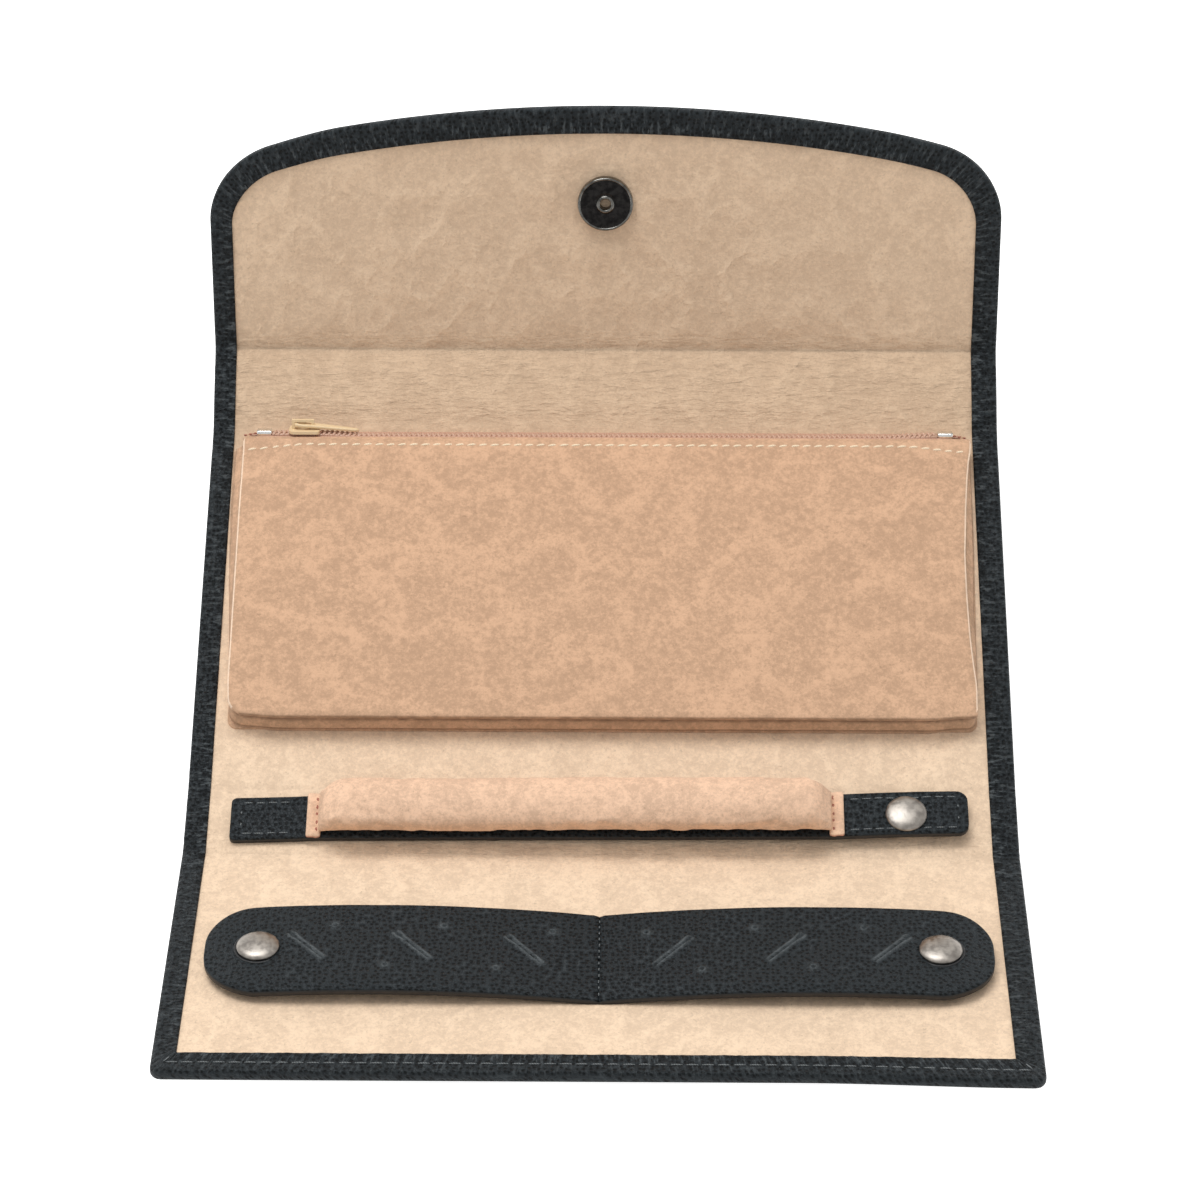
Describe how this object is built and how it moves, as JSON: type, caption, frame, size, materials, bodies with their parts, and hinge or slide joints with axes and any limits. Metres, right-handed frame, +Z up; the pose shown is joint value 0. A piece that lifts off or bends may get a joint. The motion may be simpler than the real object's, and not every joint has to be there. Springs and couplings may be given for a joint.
{
  "type": "jewellery wallet",
  "caption": "Fold-out jewellery wallet with a zip pocket, a padded ring bar, a snap-down earring strap and a magnet-closed flap, lying half open.",
  "frame": {"origin": "centre of the underside of the back panel, which the open wallet lies on", "axes": "+X across the wallet along its folds, +Y from the front panel towards the flap, +Z up out of the lining"},
  "size_m": [0.2, 0.2552, 0.0631],
  "materials": {
    "leather_black": "pebbled charcoal-black leather, satin",
    "strap_leather": "pebbled charcoal-black leather, satin",
    "strap_backing": "skived leather backing",
    "suede_lining": "brushed suede, matte",
    "suede_pocket": "brushed suede, matte",
    "board": "grey fibre board",
    "foam": "soft foam",
    "thread_cream": "polyester thread",
    "thread_grey": "polyester thread",
    "zip_tape": "woven tape",
    "zip_coil": "nylon coil",
    "zip_paint": "beige paint, semi-gloss",
    "bright_metal": "bright",
    "nickel": "polished nickel",
    "gunmetal": "dark gunmetal plating",
    "magnet": "ferrite"
  },
  "bodies": {
    "back_panel": {"back_panel_leather": "leather_black", "back_panel_board": "board", "back_panel_lining": "suede_lining", "pocket_back": "suede_pocket", "pocket_gusset": "suede_pocket", "pocket_front": "suede_pocket", "pocket_stitching": "thread_cream", "zip_tape_front": "zip_tape", "zip_tape_back": "zip_tape", "zip_coil_front": "zip_coil", "zip_coil_back": "zip_coil", "zip_stop_left": "bright_metal", "zip_stop_right": "bright_metal"},
    "lower_spine": {"lower_spine_leather": "leather_black", "lower_spine_interlining": "board", "lower_spine_lining": "suede_lining", "ring_bar_tab": "strap_leather", "ring_bar_tab_stitching": "thread_grey", "ring_bar_snap_stud": "nickel"},
    "front_panel": {"front_panel_leather": "leather_black", "front_panel_board": "board", "front_panel_lining": "suede_lining", "front_edge_stitching": "thread_grey", "clasp_stud": "gunmetal", "clasp_stud_washer": "gunmetal", "earring_snap_studs": "nickel", "earring_strap_centre": "strap_leather", "earring_strap_stitching": "thread_grey"},
    "upper_spine": {"upper_spine_leather": "leather_black", "upper_spine_interlining": "board", "upper_spine_lining": "suede_lining"},
    "flap": {"flap_leather": "leather_black", "flap_board": "board", "flap_lining": "suede_lining", "clasp_magnet_case": "gunmetal", "clasp_magnet": "magnet", "clasp_magnet_washer": "gunmetal"},
    "ring_bar": {"ring_bar_strap": "strap_leather", "ring_bar_strap_stitching": "thread_grey", "ring_bar_core": "foam", "ring_bar_pad": "suede_pocket", "ring_bar_snap_cap": "nickel", "ring_bar_snap_socket": "nickel"},
    "earring_left": {"earring_left_leather": "strap_leather", "earring_left_backing": "strap_backing", "earring_left_snap_cap": "nickel", "earring_left_snap_socket": "nickel"},
    "earring_right": {"earring_right_leather": "strap_leather", "earring_right_backing": "strap_backing", "earring_right_snap_cap": "nickel", "earring_right_snap_socket": "nickel"},
    "zip_slider": {"zip_slider": "zip_paint"},
    "zip_pull": {"zip_pull": "zip_paint"}
  },
  "joints": [
    {"name": "lower_fold", "type": "hinge", "parent": "back_panel", "child": "lower_spine", "pos_m": [0, -0.0515, 0.003], "axis": [-1, 0, 0], "range_deg": [-6, 84]},
    {"name": "front_fold", "type": "hinge", "parent": "lower_spine", "child": "front_panel", "pos_m": [0, -0.07, 0.00494], "axis": [-1, 0, 0], "range_deg": [-18, 73.2]},
    {"name": "upper_fold", "type": "hinge", "parent": "back_panel", "child": "upper_spine", "pos_m": [0, 0.0515, 0.003], "axis": [1, 0, 0], "range_deg": [-20, 70]},
    {"name": "flap_fold", "type": "hinge", "parent": "upper_spine", "child": "flap", "pos_m": [0, 0.07217, 0.01052], "axis": [1, 0, 0], "range_deg": [-35, 53.8]},
    {"name": "ring_bar_lift", "type": "hinge", "parent": "lower_spine", "child": "ring_bar", "pos_m": [-0.071, -0.06053, 0.00608], "axis": [0, 0.9945, -0.1045], "range_deg": [-100, 0]},
    {"name": "earring_left_lift", "type": "hinge", "parent": "front_panel", "child": "earring_left", "pos_m": [-0.002, -0.10556, 0.02244], "axis": [0, -0.9135, 0.4067], "range_deg": [-86, 0]},
    {"name": "earring_right_lift", "type": "hinge", "parent": "front_panel", "child": "earring_right", "pos_m": [0.002, -0.10556, 0.02244], "axis": [0, 0.9135, -0.4067], "range_deg": [-86, 0]},
    {"name": "zip_slide", "type": "slide", "parent": "back_panel", "child": "zip_slider", "axis": [-1, 0, 0], "range_m": [-0.156, 0]},
    {"name": "zip_pull_flip", "type": "hinge", "parent": "zip_slider", "child": "zip_pull", "pos_m": [-0.0778, 0.0505, 0.00825], "axis": [0, 0.788, -0.6157], "range_deg": [-165, 0]}
  ]
}
